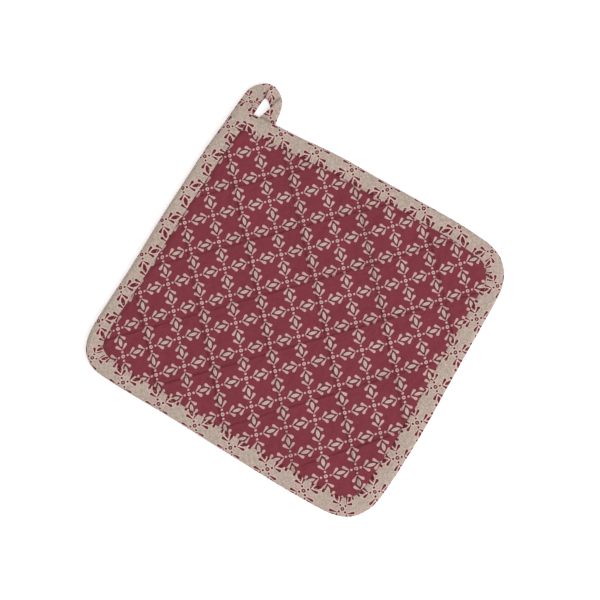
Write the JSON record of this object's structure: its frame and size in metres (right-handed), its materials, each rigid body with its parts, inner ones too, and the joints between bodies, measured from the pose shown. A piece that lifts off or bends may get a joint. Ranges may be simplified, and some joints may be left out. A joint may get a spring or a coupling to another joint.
{
  "type": "quilted pot holder",
  "caption": "Square quilted cotton pot holder with bound edges, three rounded corners and a folded tape hanging loop at the fourth corner.",
  "frame": {"origin": "middle of the pad's back, on the plane its puffed back rests on", "axes": "+Z out of the printed face, +Y towards the edge the loop stands on, +X towards the side edge away from the loop"},
  "size_m": [0.2016, 0.2166, 0.0086],
  "materials": {
    "face_print": "matte printed cotton",
    "back_print": "matte printed cotton",
    "binding_print": "matte printed cotton tape",
    "wadding": "matte cotton wadding",
    "burgundy_thread": "satin sewing thread",
    "linen_thread": "satin sewing thread"
  },
  "bodies": {
    "pad": {"back_cloth": "back_print", "binding_back_thread": "linen_thread", "binding_face_thread": "linen_thread", "edge_binding": "binding_print", "face_cloth": "face_print", "loop_end": "binding_print", "loop_end_back_thread": "linen_thread", "loop_end_face_thread": "linen_thread", "lower_wadding": "wadding", "seam_a1_back_thread": "burgundy_thread", "seam_a1_face_thread": "burgundy_thread", "seam_a2_back_thread": "burgundy_thread", "seam_a2_face_thread": "burgundy_thread", "seam_a3_back_thread": "burgundy_thread", "seam_a3_face_thread": "burgundy_thread", "seam_a4_back_thread": "burgundy_thread", "seam_a4_face_thread": "burgundy_thread", "seam_a5_back_thread": "burgundy_thread", "seam_a5_face_thread": "burgundy_thread", "seam_a6_back_thread": "burgundy_thread", "seam_a6_face_thread": "burgundy_thread", "seam_b1_back_thread": "burgundy_thread", "seam_b1_face_thread": "burgundy_thread", "seam_b2_back_thread": "burgundy_thread", "seam_b2_face_thread": "burgundy_thread", "seam_b3_back_thread": "burgundy_thread", "seam_b3_face_thread": "burgundy_thread", "seam_b4_back_thread": "burgundy_thread", "seam_b4_face_thread": "burgundy_thread", "seam_b5_back_thread": "burgundy_thread", "seam_b5_face_thread": "burgundy_thread", "seam_b6_back_thread": "burgundy_thread", "seam_b6_face_thread": "burgundy_thread", "upper_wadding": "wadding"},
    "loop": {"hanging_loop": "binding_print", "loop_face_thread": "linen_thread", "loop_back_thread": "linen_thread"}
  },
  "joints": [
    {"name": "loop_fold", "type": "hinge", "parent": "pad", "child": "loop", "pos_m": [-0.08632, 0.09595, 0.004], "axis": [0.9995, 0.0325, 0], "range_deg": [-90, 90], "stiffness_Nm_per_rad": 0.003}
  ]
}
